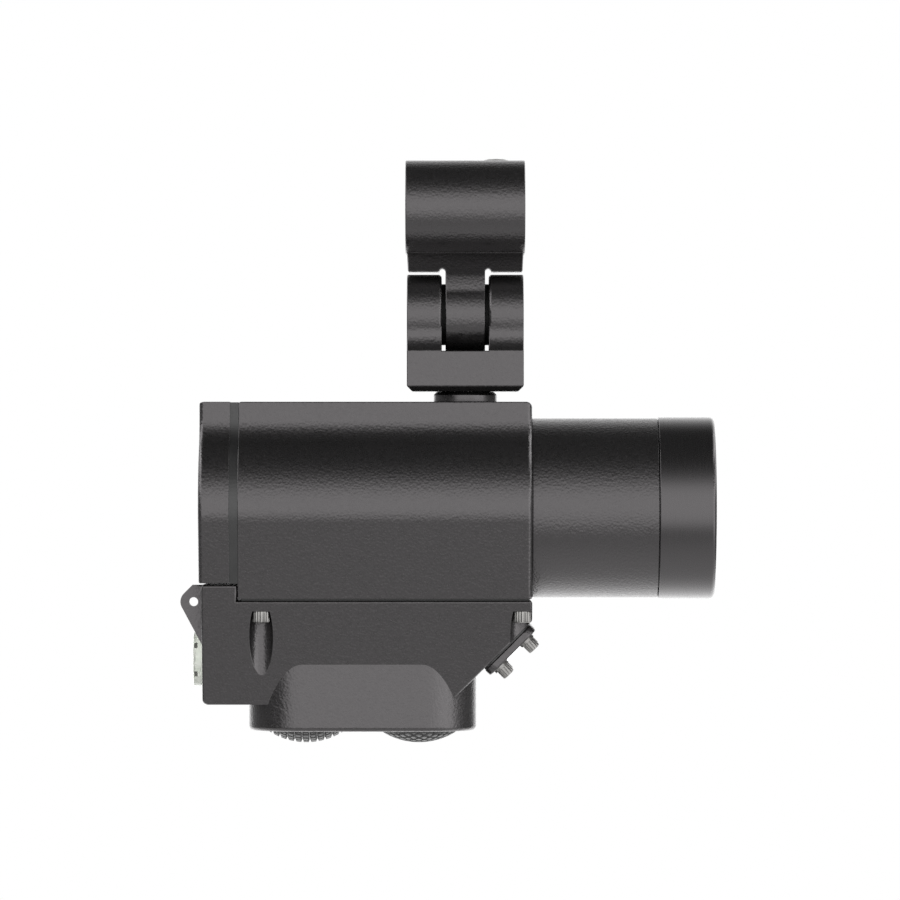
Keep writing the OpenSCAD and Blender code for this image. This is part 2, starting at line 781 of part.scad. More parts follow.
module head_barrel() {
    rear_x = front_x - spigot_l;
    color(casting_black) lamp() difference() {
        union() {
            rod_x(spigot_r, rear_x, front_x + 1);
            rod_x(barrel_r, front_x, barrel_front_x);
            rod_x(nose_r, barrel_front_x - 1, nose_x);
        }
        rod_x(sink_r + run_fit, rear_x - spare, star_x);
        rod_x(head_bore_r, star_x, nose_x + spare);
    }
}

module bezel_ring() {
    rear_x = barrel_front_x + slip;
    pocket_x = nose_x + run_fit;
    round_x = bezel_front_x - bezel_round;
    flare = lip_t * 0.6;
    color(smooth_black) lamp() turned() difference() {
        union() {
            translate([aperture_r, rear_x]) square([bezel_r - aperture_r, round_x - rear_x]);
            translate([aperture_r, round_x]) square([bezel_r - bezel_round - aperture_r, bezel_round]);
            translate([bezel_r - bezel_round, round_x]) intersection() {
                circle(bezel_round);
                square(bezel_round);
            }
        }
        translate([0, rear_x - spare]) square([nose_r + run_fit, pocket_x - rear_x + spare]);
        translate([0, pocket_x - spare]) square([lens_r + run_fit, lens_x + lens_t - pocket_x + spare]);
        polygon([
            [aperture_r - spare, bezel_front_x - flare], [aperture_r, bezel_front_x - flare],
            [aperture_r + flare, bezel_front_x], [aperture_r + flare, bezel_front_x + spare],
            [aperture_r - spare, bezel_front_x + spare]
        ]);
    }
}

module front_lens() {
    color(clear) lamp() rod_x(lens_r, lens_x, lens_x + lens_t);
}

module lens_gasket() {
    color(rubber_black) lamp() difference() {
        rod_x(lens_r, nose_x, lens_x);
        rod_x(rim_r + rim_w / 2, nose_x - spare, lens_x + spare);
    }
}

// A parabola of revolution with a rim at the nose and a neck that stands on the star board
module reflector() {
    steps = 14;
    rim_t = 1;
    radii = [for (i = [0 : steps]) reflector_throat_r + i * (rim_r - reflector_throat_r) / steps];
    inside = [for (r = radii) [r, reflector_x + r * r / (4 * focus)]];
    outer_r = head_bore_r - run_fit;
    outside = [for (i = [steps - 1 : -1 : 0]) inside[i] + [reflector_wall, 0]];
    seat_x = star_x + star_t;
    color(steel) lamp() turned() polygon(concat(
        [[reflector_throat_r, seat_x]], inside,
        [[outer_r, nose_x], [outer_r, nose_x - rim_t], [rim_r + reflector_wall / 2, nose_x - rim_t]],
        outside,
        [[reflector_throat_r + reflector_wall, seat_x]]
    ));
}

module heat_sink() {
    groove_w = 1.2;
    groove_depth = sink_r / 6;
    grooves = 3;
    rear_x = front_x - spigot_l;
    pitch = (star_x - rear_x) / (grooves + 1);
    color(steel) lamp() difference() {
        rod_x(sink_r, rear_x, star_x);
        for (i = [1 : grooves]) translate([rear_x + i * pitch - groove_w / 2, 0, 0]) difference() {
            rod_x(sink_r + spare, 0, groove_w);
            rod_x(sink_r - groove_depth, -spare, groove_w + spare);
        }
    }
}

module led_star() {
    color(board_green) lamp() rod_x(star_r, star_x, star_x + star_t);
}

module led_emitter() {
    side = 3.4;
    base_t = 0.8;
    dome_r = 1.3;
    x = star_x + star_t;
    color(lamp_yellow) lamp() {
        box(x, x + base_t, side, -side / 2, side / 2);
        intersection() {
            translate([x + base_t, 0, 0]) sphere(dome_r);
            rod_x(2 * dome_r, x + base_t / 2, x + base_t + dome_r);
        }
    }
}

module battery_door() {
    color(casting_black) lamp() difference() {
        union() {
            along_x(door_rear_x, door_front_x) housing_band(door_z, roof_h);
            along_x(door_front_x - 1, housing_rear_x + plug_l) bay_outline(2 * slip);
        }
        for (at = door_screws_at) translate([0, at.x, at.y]) {
            rod_x(screw_d / 2 + run_fit, door_rear_x - spare, door_front_x + spare);
            rod_x(screw_head_d / 2 + slip, door_rear_x - spare, door_rear_x + head_recess);
        }
    }
}

module door_gasket() {
    color(rubber_black) lamp() difference() {
        along_x(door_front_x, housing_rear_x) housing_band(door_z, roof_h, 0.1);
        along_x(door_front_x - spare, housing_rear_x + spare) bay_outline(slip);
        for (at = door_screws_at) translate([0, at.x, at.y])
            rod_x(screw_d / 2 + run_fit, door_front_x - spare, housing_rear_x + spare);
    }
}

module door_screws() {
    bite = door_t - head_recess + door_gasket_t + screw_bite;
    color(steel) lamp() for (at = door_screws_at)
        translate([door_rear_x + head_recess, at.x, at.y]) rotate([0, 90, 0])
            cap_screw(screw_d, screw_head_d, screw_head_h, bite, screw_d * 0.85);
}

module door_contact() {
    x = housing_rear_x + plug_l;
    color(brass) lamp() along_x(x, x + bridge_t) bay_outline(bay_r * 0.6);
}

module battery(side) {
    nub_r = 3;
    tip_l = 0.8;
    color(steel) lamp() translate([0, side * cell_y, 0]) {
        rod_x(cell_d / 2, cell_rear_x, cell_rear_x + cell_l - tip_l);
        rod_x(nub_r, cell_rear_x + cell_l - tip_l - 1, cell_rear_x + cell_l);
    }
}

module battery_right() { battery(-1); }
module battery_left() { battery(1); }

module contact_board() {
    color(board_green) lamp()
        along_x(bay_front_x - contact_board_t, bay_front_x) bay_outline(slip);
}

module contact_springs() {
    x = bay_front_x - contact_board_t;
    base_r = 3.5;
    tip_r = 2;
    wire = 0.6;
    color(brass) lamp() for (side = [-1, 1]) translate([x - spring_l, side * cell_y, 0])
        turned() polygon([
            [tip_r - wire, 0], [tip_r, 0], [base_r, spring_l], [base_r - wire, spring_l]
        ]);
}

module lower_housing() {
    color(casting_black) difference() {
        lamp() difference() {
            union() {
                intersection() {
                    along_x(lower_rear_x, front_x) housing_band(floor_z, heel_z);
                    along_y(-wall_top_y, wall_top_y) lower_side_outline();
                }
                button_boss();
                lanyard_ear();
            }
            screw_channels();
            switch_cavity();
            rear_lens_bore();
        }
        flood() flood_pocket();
    }
}

// Side view: heel under the door, seam, front face, flood slope and floor
module lower_side_outline() {
    heel_x = housing_rear_x - heel_gap;
    slope_foot_x = front_x - (flood_z - floor_z);
    corner = [lower_rear_x + rear_round, floor_z + rear_round];
    polygon(concat(
        arc(corner, rear_round, 180, 270, 8),
        [
            [slope_foot_x, floor_z], [front_x, flood_z], [front_x, lower_top_z],
            [heel_x, lower_top_z], [heel_x, heel_z], [lower_rear_x, heel_z]
        ]
    ));
}

// Straight-sided boss with round ends and a rounded lower edge, running up into the walls
module button_boss() {
    run = boss_l / 2 - boss_r;
    h = wall_z(boss_r) + 1 - boss_z;
    translate([boss_x, 0, boss_z]) {
        for (side = [-1, 1]) translate([side * run, 0, 0]) rotate_extrude() boss_edge(h);
        along_x(-run, run) {
            boss_edge(h);
            mirror([1, 0]) boss_edge(h);
        }
    }
}

module boss_edge(h) {
    square([boss_r - boss_round, h]);
    translate([0, boss_round]) square([boss_r, h - boss_round]);
    translate([boss_r - boss_round, boss_round]) circle(boss_round);
}

// Flat lug with a sloped top, a round tip and a long lower flank that is tangent to it
module lanyard_ear() {
    root = 1.5;
    tip_r = 2.2;
    tip = [ear_reach - tip_r, -lanyard_drop];
    heel = [0, -ear_h];
    heel_way = heel - tip;
    flank = atan2(heel_way.y, heel_way.x) + acos(tip_r / norm(heel_way));
    translate([lower_rear_x, 0, heel_z]) rotate([0, 0, 180]) difference() {
        along_y(ear_y - ear_t, ear_y) {
            polygon([
                [-root, 0], [-root, -ear_h], heel, tip + tip_r * [cos(flank), sin(flank)],
                tip + tip_r * [cos(45), sin(45)], [tip.x + tip.y + tip_r / cos(45), 0]
            ]);
            translate(tip) circle(tip_r);
        }
        translate([lanyard_x, ear_y + spare, -lanyard_drop]) rotate([90, 0, 0])
            cylinder(d = lanyard_d, h = ear_t + 2 * spare);
    }
}

// Counterbored channels that run out on the leaning walls and on the front face
module screw_channels() {
    for (x = screw_xs, side = [-1, 1]) translate([x, side * screw_y, 0]) {
        translate([0, 0, floor_z - spare]) cylinder(r = channel_r, h = screw_seat_z - floor_z + spare);
        translate([0, 0, screw_seat_z - spare])
            cylinder(d = screw_d + 2 * run_fit, h = seat_t + 2 * spare);
    }
}

// Space for the switch board on its shelves, open to the two button chambers
module switch_cavity() {
    x0 = boss_x - cavity_l / 2;
    x1 = boss_x + cavity_l / 2;
    box(x0, x1, cavity_w, shelf_z, heel_z + spare);
    box(boss_x - well_l / 2, boss_x + well_l / 2, cavity_w - 2 * shelf_w, chamber_z - 1, shelf_z + 1);
    for (x = button_xs) translate([x, 0, 0]) {
        translate([0, 0, boss_z + ledge_t])
            cylinder(r = chamber_r, h = chamber_z - boss_z - ledge_t);
        translate([0, 0, boss_z - spare]) cylinder(r = button_r + slip, h = ledge_t + 2 * spare);
    }
}

// Stepped bore: a seat for the rear lens and a smaller well for its board
module rear_lens_bore() {
    translate([0, 0, rear_lens_z]) {
        rod_x(rear_lens_r + run_fit, lower_rear_x - spare, lower_rear_x + rear_lens_seat);
        rod_x(rear_well_r, lower_rear_x, lower_rear_x + rear_bore_depth);
    }
}

// Stepped pocket: a seat for the lens flange and a smaller well for the lamp's board
module flood_pocket() {
    slab(pocket_l + 2 * slip, pocket_w + 2 * slip, -lens_flange_t, spare);
    slab(window_l, window_w, -pocket_depth, spare);
    hole_l = flood_bite + end_room;
    flood_screw_places() translate([0, 0, -hole_l])
        cylinder(d = flood_screw_d + 2 * run_fit, h = hole_l + spare);
}

module flood_screw_places() {
    x = flood_l / 2 - flood_screw_end;
    y = flood_w / 2 - flood_screw_side;
    for (end = [-1, 1], side = [-1, 1]) translate([end * x, side * y, 0]) children();
}

module housing_gasket() {
    edge = 0.6;
    color(rubber_black) lamp() difference() {
        along_x(housing_rear_x + edge, front_x - edge) housing_band(lower_top_z, seam_z, edge);
        box(boss_x - cavity_l / 2, boss_x + cavity_l / 2, cavity_w, lower_top_z - spare, seam_z + spare);
        for (x = screw_xs, side = [-1, 1]) translate([x, side * screw_y, lower_top_z - spare])
            cylinder(d = screw_d + 2 * run_fit, h = seam_gasket_t + 2 * spare);
    }
}

module housing_screws() {
    color(steel) lamp() for (x = screw_xs, side = [-1, 1])
        translate([x, side * screw_y, screw_seat_z])
            cap_screw(screw_d, screw_head_d, screw_head_h, seat_t + seam_gasket_t + screw_bite,
                screw_d * 0.85);
}

module flood_bezel() {
    color(casting_black) flood() difference() {
        plate(flood_l, flood_w, flood_corner_r, flood_gasket_t, flood_top);
        slab(window_l, window_w, flood_gasket_t - spare, flood_top + spare);
        flood_screw_places() cylinder(d = flood_screw_d + 2 * run_fit, h = flood_top + spare);
    }
}

module flood_lens() {
    color(clear) flood() {
        slab(pocket_l, pocket_w, -lens_flange_t, 0);
        slab(window_l - 2 * slip, window_w - 2 * slip, -lens_flange_t, flood_top + flood_lens_proud);
    }
}

module flood_gasket() {
    color(rubber_black) flood() difference() {
        plate(flood_l - 2 * slip, flood_w - 2 * slip, flood_corner_r, 0, flood_gasket_t);
        slab(window_l, window_w, -spare, flood_gasket_t + spare);
        flood_screw_places() translate([0, 0, -spare])
            cylinder(d = flood_screw_d + 2 * run_fit, h = flood_gasket_t + 2 * spare);
    }
}

module flood_led_board() {
    color(board_green) flood()
        slab(window_l - 2 * slip, window_w - 2 * slip, -pocket_depth, flood_board_t - pocket_depth);
}

module flood_leds() {
    led = 2;
    pitch = window_w / 2 - led;
    z = flood_board_t - pocket_depth;
    color(lamp_yellow) flood() for (y = [-1, 0, 1]) translate([0, y * pitch, 0])
        slab(led, led, z, z + flood_led_h);
}

module flood_screws() {
    color(steel) flood() flood_screw_places()
        translate([0, 0, flood_top + flood_washer_t]) mirror([0, 0, 1])
            cap_screw(flood_screw_d, flood_head_d, flood_head_h, flood_top + flood_washer_t + flood_bite,
                flood_screw_d * 0.85);
}

module flood_washers() {
    color(steel) flood() flood_screw_places() difference() {
        translate([0, 0, flood_top]) cylinder(d = flood_head_d + 2 * flood_washer_rim, h = flood_washer_t);
        translate([0, 0, flood_top - spare])
            cylinder(d = flood_screw_d + 2 * run_fit, h = flood_washer_t + 2 * spare);
    }
}

// A thick button of clear resin with a slightly crowned face
module rear_lens() {
    crown = 0.6;
    r = rear_lens_r;
    crown_r = (r * r + crown * crown) / (2 * crown);
    tip_x = lower_rear_x - rear_lens_proud;
    color(clear) lamp() translate([0, 0, rear_lens_z]) turned() intersection() {
        translate([0, tip_x]) square([r, rear_lens_proud + rear_lens_seat]);
        translate([0, tip_x + crown_r]) circle(crown_r);
    }
}

module rear_led_board() {
    led_r = 1.2;
    led_h = 1;
    x1 = lower_rear_x + rear_bore_depth;
    color(board_green) lamp() translate([0, 0, rear_lens_z]) {
        rod_x(rear_well_r - slip, x1 - rear_board_t, x1);
        rod_x(led_r, x1 - rear_board_t - led_h, x1 - rear_board_t + 0.5);
    }
}

// Rubber cap: a low dome, a straight neck in the boss, a flange behind its ledge and a plunger
module button_cap(x) {
    dome_r = (button_r * button_r + dome_h * dome_h) / (2 * dome_h);
    plunger_r = 2;
    color(rubber_black) lamp() translate([x, 0, 0]) {
        intersection() {
            translate([0, 0, boss_z - dome_h + dome_r]) sphere(dome_r);
            translate([0, 0, boss_z - dome_h]) cylinder(r = button_r, h = flange_z - boss_z + dome_h);
        }
        translate([0, 0, boss_z]) cylinder(r = button_r, h = flange_z - boss_z + 0.5);
        translate([0, 0, flange_z]) cylinder(r = button_r + button_flange, h = flange_t);
        translate([0, 0, flange_z]) cylinder(r = plunger_r, h = plunger_z - flange_z);
    }
}

module spot_button() { button_cap(button_xs[1]); }
module flood_button() { button_cap(button_xs[0]); }

module switch_board() {
    color(board_green) lamp()
        box(boss_x - cavity_l / 2 + slip, boss_x + cavity_l / 2 - slip, cavity_w - 2 * slip,
            shelf_z, shelf_z + board_t);
}

module tact_switches() {
    color(rubber_black) lamp() for (x = button_xs) translate([x, 0, shelf_z]) {
        slab(switch_w, switch_w, -switch_h, 0);
        translate([0, 0, -switch_h - nub_h]) cylinder(r = nub_r, h = nub_h + 1);
    }
}

brim_clamp();
clamp_screw_right();
clamp_screw_left();
clamp_pad_right();
clamp_pad_left();
tilt_fork();
tilt_bolt();
tilt_nut();
friction_washers();
swivel_collar();
swivel_screw();
upper_housing();
head_barrel();
bezel_ring();
front_lens();
lens_gasket();
reflector();
heat_sink();
led_star();
led_emitter();
battery_door();
door_gasket();
door_screws();
door_contact();
battery_right();
battery_left();
contact_board();
contact_springs();
lower_housing();
housing_gasket();
housing_screws();
flood_bezel();
flood_lens();
flood_gasket();
flood_led_board();
flood_leds();
flood_screws();
flood_washers();
rear_lens();
rear_led_board();
spot_button();
flood_button();
switch_board();
tact_switches();
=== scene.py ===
"""Looks of the helmet light: finishes, broken edges, knurled screws, waffled buttons and light."""
import json
import math
from functools import cache

import bpy
from mathutils import Matrix, Vector

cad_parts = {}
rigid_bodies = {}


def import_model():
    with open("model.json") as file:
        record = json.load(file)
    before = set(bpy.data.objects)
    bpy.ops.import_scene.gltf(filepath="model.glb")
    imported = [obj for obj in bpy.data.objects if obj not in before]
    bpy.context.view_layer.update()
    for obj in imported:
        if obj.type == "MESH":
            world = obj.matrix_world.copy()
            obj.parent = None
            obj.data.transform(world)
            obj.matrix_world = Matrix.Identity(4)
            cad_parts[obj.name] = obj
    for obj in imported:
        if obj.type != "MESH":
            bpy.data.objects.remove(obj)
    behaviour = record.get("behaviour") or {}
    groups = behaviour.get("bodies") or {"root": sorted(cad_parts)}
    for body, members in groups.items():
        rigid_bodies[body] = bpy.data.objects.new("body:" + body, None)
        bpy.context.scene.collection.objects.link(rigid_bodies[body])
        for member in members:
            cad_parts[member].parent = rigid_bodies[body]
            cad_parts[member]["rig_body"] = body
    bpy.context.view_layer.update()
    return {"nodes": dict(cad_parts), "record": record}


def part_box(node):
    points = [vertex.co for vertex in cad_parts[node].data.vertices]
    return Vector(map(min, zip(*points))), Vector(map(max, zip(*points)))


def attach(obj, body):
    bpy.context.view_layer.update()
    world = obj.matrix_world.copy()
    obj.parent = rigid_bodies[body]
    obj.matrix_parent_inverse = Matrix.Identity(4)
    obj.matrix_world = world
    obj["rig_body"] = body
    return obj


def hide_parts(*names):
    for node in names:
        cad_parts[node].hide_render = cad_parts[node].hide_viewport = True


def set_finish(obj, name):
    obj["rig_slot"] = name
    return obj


MM = 0.001

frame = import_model()


def put(tree, socket, value):
    """Links a socket to the output of another node, or sets it."""
    if isinstance(value, bpy.types.NodeSocket):
        tree.links.new(value, socket)
    else:
        socket.default_value = value


def add_node(tree, kind, inputs=None, **settings):
    """Adds a shader node whose inputs are numbers, colours or the outputs of other nodes."""
    node = tree.nodes.new("ShaderNode" + kind)
    for key, value in settings.items():
        setattr(node, key, value)
    for key, value in (inputs or {}).items():
        put(tree, node.inputs[key], value)
    return node


def reckon(tree, operation, first, second=0.5):
    return add_node(tree, "Math", {0: first, 1: second}, operation=operation).outputs[0]


def remap(tree, value, low, high, to_low=0.0, to_high=1.0):
    inputs = {"Value": value, "From Min": low, "From Max": high, "To Min": to_low, "To Max": to_high}
    return add_node(tree, "MapRange", inputs).outputs["Result"]


def blend(tree, factor, first, second):
    """A mix of two colours."""
    return add_node(tree, "Mix", {0: factor, 6: first, 7: second}, data_type="RGBA").outputs[2]


class Finish:
    """A procedural material laid out in millimetres on the piece itself."""

    def __init__(self, name, colour, roughness, metallic=0.0):
        self.material = bpy.data.materials.new(name)
        self.material.use_nodes = True
        self.tree = self.material.node_tree
        self.surface = self.tree.nodes["Principled BSDF"]
        self.feed("Base Color", (*colour, 1.0))
        self.feed("Roughness", roughness)
        self.feed("Metallic", metallic)
        place = self.node("TexCoord").outputs["Object"]
        scaled = self.node("VectorMath", operation="SCALE", inputs={0: place, "Scale": 1 / MM})
        self.mm = scaled.outputs["Vector"]
        self.normal = None

    def node(self, kind, inputs=None, **settings):
        return add_node(self.tree, kind, inputs, **settings)

    def feed(self, socket, value):
        put(self.tree, self.surface.inputs[socket], value)

    def stretched(self, stretch):
        return self.node("VectorMath", operation="MULTIPLY", inputs={0: self.mm, 1: stretch}).outputs[0]

    def noise(self, scale, detail=2.0, where=None):
        inputs = {"Vector": where or self.mm, "Scale": scale, "Detail": detail}
        return self.node("TexNoise", inputs).outputs["Fac"]

    def pebbles(self, scale, where=None):
        inputs = {"Vector": where or self.mm, "Scale": scale, "Smoothness": 0.6}
        return self.node("TexVoronoi", inputs, feature="SMOOTH_F1").outputs["Distance"]

    def remap(self, value, low, high, to_low=0.0, to_high=1.0):
        return remap(self.tree, value, low, high, to_low, to_high)

    def math(self, operation, first, second=0.5):
        return reckon(self.tree, operation, first, second)

    def mix(self, factor, first, second):
        ends = [(*c, 1.0) if isinstance(c, tuple) else c for c in (first, second)]
        return blend(self.tree, factor, *ends)

    def axis(self, letter):
        return self.node("SeparateXYZ", {0: self.mm}).outputs[letter]

    def edges(self, radius):
        """1 on convex and hollow edges of about this radius in mm, 0 on the faces."""
        rounded = self.node("Bevel", {"Radius": radius * MM}, samples=4).outputs[0]
        plain = self.node("NewGeometry").outputs["Normal"]
        dot = self.node("VectorMath", {0: rounded, 1: plain}, operation="DOT_PRODUCT").outputs["Value"]
        return self.remap(dot, 0.995, 0.85)

    def relief(self, height, depth):
        """Adds a bump of this depth in mm on top of the earlier ones."""
        inputs = {"Height": height, "Strength": 1.0, "Distance": depth * MM}
        if self.normal:
            inputs["Normal"] = self.normal
        self.normal = self.node("Bump", inputs).outputs[0]
        self.feed("Normal", self.normal)


ANODISED_IOR = 1.82
ANODISED_TINT = (1.0, 0.955, 0.977, 1.0)


def cast_black():
    skin = Finish("cast_black", (0.006, 0.0059, 0.0059), 0.3)
    skin.feed("IOR", ANODISED_IOR)
    skin.feed("Specular Tint", ANODISED_TINT)
    cloud = skin.noise(0.09, 3)
    # Painted highlight and wear: the edges are painted lighter in patches, standing in for the light they
    # catch and for rubbing
    edge_sheen_and_wear = skin.math("MULTIPLY", skin.edges(0.3), skin.remap(skin.noise(0.35, 3), 0.5, 0.75))
    bare = skin.mix(cloud, (0.005, 0.0049, 0.0049), (0.0075, 0.0073, 0.0072))
    skin.feed("Base Color", skin.mix(edge_sheen_and_wear, bare, (0.02, 0.0195, 0.019)))
    skin.feed("Roughness", skin.remap(skin.noise(1.3, 3), 0.3, 0.7, 0.26, 0.34))
    skin.relief(skin.pebbles(2.1), 0.042)
    skin.relief(skin.noise(5.5, 2), 0.018)
    return skin.material


def smooth_black():
    skin = Finish("smooth_black", (0.006, 0.0059, 0.006), 0.25)
    skin.feed("IOR", ANODISED_IOR)
    skin.feed("Specular Tint", ANODISED_TINT)
    rings = skin.noise(1.0, 2, skin.stretched((9.0, 0.3, 0.3)))
    cloud = skin.noise(0.12, 3)
    skin.feed("Base Color", skin.mix(cloud, (0.005, 0.0049, 0.005), (0.0075, 0.0073, 0.0073)))
    skin.feed("Roughness", skin.remap(rings, 0.3, 0.7, 0.22, 0.3))
    skin.relief(rings, 0.002)
    skin.relief(skin.pebbles(3.2), 0.004)
    return skin.material


def black_rubber():
    skin = Finish("black_rubber", (0.009, 0.009, 0.0092), 0.42)
    skin.feed("IOR", 1.65)
    cloud = skin.noise(0.3, 3)
    skin.feed("Base Color", skin.mix(cloud, (0.0075, 0.0075, 0.0077), (0.011, 0.011, 0.0112)))
    skin.feed("Roughness", skin.remap(cloud, 0.3, 0.7, 0.36, 0.48))
    skin.relief(skin.noise(7.0, 2), 0.01)
    return skin.material


def steel():
    skin = Finish("steel", (0.25, 0.245, 0.238), 0.32, 1.0)
    cloud = skin.noise(0.8, 3)
    skin.feed("Base Color", skin.mix(cloud, (0.19, 0.186, 0.18), (0.31, 0.304, 0.295)))
    skin.feed("Roughness", skin.remap(skin.noise(4.0, 3), 0.3, 0.7, 0.26, 0.4))
    skin.relief(skin.noise(9.0, 2), 0.004)
    return skin.material


def brass():
    skin = Finish("brass", (0.62, 0.43, 0.17), 0.3, 1.0)
    tarnish = skin.remap(skin.noise(0.7, 4), 0.45, 0.7)
    skin.feed("Base Color", skin.mix(tarnish, (0.66, 0.46, 0.18), (0.36, 0.23, 0.1)))
    skin.feed("Roughness", skin.remap(skin.noise(3.0, 3), 0.3, 0.7, 0.22, 0.4))
    skin.relief(skin.noise(8.0, 2), 0.004)
    return skin.material


def board():
    skin = Finish("board", (0.02, 0.16, 0.06), 0.35)
    tracks = skin.math("GREATER_THAN", skin.math("FRACT", skin.math("MULTIPLY", skin.axis("Y"), 0.7)), 0.55)
    blotch = skin.remap(skin.noise(0.5, 2), 0.4, 0.6)
    lanes = skin.math("MULTIPLY", tracks, blotch)
    skin.feed("Base Color", skin.mix(lanes, (0.015, 0.13, 0.045), (0.03, 0.21, 0.08)))
    skin.feed("Roughness", skin.remap(blotch, 0.0, 1.0, 0.3, 0.42))
    skin.relief(lanes, 0.02)
    return skin.material


def clear():
    skin = Finish("clear", (0.97, 0.985, 0.985), 0.03)
    skin.feed("Transmission Weight", 1.0)
    skin.feed("IOR", 1.5)
    skin.feed("Roughness", skin.remap(skin.noise(0.4, 3), 0.4, 0.7, 0.01, 0.05))
    return skin.material


# In mm: how far the clips lie from the lens's middle, and how deep the clips and the rim lie under its face
CLIP_FAR = 2.7
CLIP_DEPTHS = (0.75, 1.35)
RIM_DEPTHS = (0.22, 0.42)


def lens_marks(skin):
    """1 on the two dark clips inside the marker lens, and 1 along its outer rim, where shade is painted."""
    low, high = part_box("rear_lens")
    far = skin.math("ABSOLUTE", skin.math("SUBTRACT", skin.axis("Z"), (low.z + high.z) / 2 / MM))
    tall = skin.math("COMPARE", far, CLIP_FAR)
    depth = skin.math("SUBTRACT", skin.axis("X"), low.x / MM)
    under = skin.math("GREATER_THAN", depth, CLIP_DEPTHS[0])
    over = skin.math("LESS_THAN", depth, CLIP_DEPTHS[1])
    rim = skin.remap(depth, RIM_DEPTHS[1], RIM_DEPTHS[0])
    return skin.math("MULTIPLY", tall, skin.math("MULTIPLY", under, over)), rim


def marker_lens():
    skin = Finish("marker_lens", (0.84, 0.88, 0.79), 0.12)
    skin.feed("Transmission Weight", 0.45)
    skin.feed("IOR", 1.49)
    prisms = skin.pebbles(0.9)
    clips, rim = lens_marks(skin)
    milk = skin.mix(prisms, (0.72, 0.78, 0.68), (0.93, 0.94, 0.88))
    # Painted shade: the lens is painted darker toward its outer rim
    rim_shaded = skin.mix(rim, milk, (0.42, 0.4, 0.35))
    skin.feed("Base Color", skin.mix(clips, rim_shaded, (0.05, 0.05, 0.045)))
    skin.feed("Roughness", skin.remap(prisms, 0.0, 0.7, 0.08, 0.22))
    skin.relief(prisms, 0.08)
    return skin.material


def mirror():
    skin = Finish("mirror", (0.86, 0.86, 0.85), 0.06, 1.0)
    skin.feed("Roughness", skin.remap(skin.noise(0.5, 2), 0.3, 0.7, 0.04, 0.09))
    skin.relief(skin.pebbles(2.4), 0.03)
    return skin.material


def heat_sink():
    skin = Finish("heat_sink", (0.55, 0.56, 0.57), 0.35, 1.0)
    rings = skin.noise(1.0, 2, skin.stretched((14.0, 0.4, 0.4)))
    skin.feed("Base Color", skin.mix(rings, (0.46, 0.47, 0.48), (0.64, 0.65, 0.66)))
    skin.feed("Roughness", skin.remap(rings, 0.3, 0.7, 0.28, 0.42))
    skin.relief(rings, 0.006)
    return skin.material


def led():
    skin = Finish("led", (0.85, 0.66, 0.12), 0.4)
    grain = skin.noise(6.0, 3)
    skin.feed("Base Color", skin.mix(grain, (0.78, 0.58, 0.08), (0.9, 0.74, 0.2)))
    skin.feed("Roughness", skin.remap(grain, 0.3, 0.7, 0.3, 0.5))
    skin.feed("Coat Weight", 0.6)
    return skin.material


# In mm: the bare ends of a cell, and how far its coloured band reaches from the front
CELL_CAP = 2.0
CELL_BASE = 0.5
CELL_BAND = 7.5


def cell():
    skin = Finish("cell", (0.05, 0.055, 0.065), 0.35)
    low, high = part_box("battery_right")
    x = skin.axis("X")
    front = skin.math("GREATER_THAN", x, high.x / MM - CELL_CAP)
    rear = skin.math("LESS_THAN", x, low.x / MM + CELL_BASE)
    bare = skin.math("MAXIMUM", front, rear)
    band = skin.math("GREATER_THAN", x, high.x / MM - CELL_BAND)
    sleeve = skin.mix(band, (0.045, 0.05, 0.06), (0.16, 0.13, 0.06))
    skin.feed("Base Color", skin.mix(bare, sleeve, (0.55, 0.54, 0.52)))
    skin.feed("Metallic", bare)
    skin.feed("Roughness", skin.remap(skin.noise(0.8, 3), 0.3, 0.7, 0.28, 0.42))
    return skin.material


def washer():
    skin = Finish("washer", (0.006, 0.006, 0.0062), 0.6)
    skin.feed("Specular IOR Level", 0.2)
    fibre = skin.noise(2.5, 4, skin.stretched((1.0, 2.5, 0.6)))
    skin.feed("Base Color", skin.mix(fibre, (0.004, 0.004, 0.0042), (0.009, 0.009, 0.0088)))
    skin.feed("Roughness", skin.remap(fibre, 0.3, 0.7, 0.5, 0.7))
    skin.relief(fibre, 0.015)
    return skin.material


FINISHES = {
    make.__name__: make()
    for make in (
        cast_black, smooth_black, black_rubber, steel, brass, board, clear,
        marker_lens, mirror, heat_sink, led, cell, washer,
    )
}

# Screws in mm
HOUSING_SCREW = dict(head_d=3.56, head_h=2.1, shank_d=2.0, shank_l=7.4, key=1.75, teeth=22)
DOOR_SCREW = dict(HOUSING_SCREW, shank_l=10.3)
FLOOD_SCREW = dict(head_d=2.5, head_h=1.9, shank_d=1.6, shank_l=6.3, key=1.3, teeth=18)
FLOOD_SCREW_SPREAD = 6.8
FLOOD_SEAT = 1.25

# Planes of the castings in mm, and how near a point on them lies
ON_PLANE = 0.01
DOOR_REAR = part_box("battery_door")[0].x / MM
DOOR_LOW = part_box("battery_door")[0].z / MM
HOUSING_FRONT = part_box("upper_housing")[1].x / MM
HOUSING_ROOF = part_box("upper_housing")[1].z / MM
LOWER_REAR = -49.65
LOWER_FLOOR = -94.2
DOOR_HOLE_R = 2.2
CHANNEL_R = 2.4

# Widths in mm of the broken edges of the housing's castings
DOOR_EDGES = dict(rear=0.9, low=0.3, crisp=0.12)
UPPER_EDGES = dict(front=1.0, roof=0.4, crisp=0.15)
LOWER_EDGES = dict(soft=0.45, channel=0.1, whole=0.0)


@cache
def door_screw_places():
    """Y and Z of the door screws' axes."""
    low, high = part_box("door_screws")
    inset = DOOR_SCREW["head_d"] / 2 * MM
    return [(0.0, high.z - inset), (low.y + inset, low.z + inset), (high.y - inset, low.z + inset)]


def nearest(across, up, places):
    """How far in mm the nearest of these axes is."""
    return min(math.hypot(across - a / MM, up - b / MM) for a, b in places)


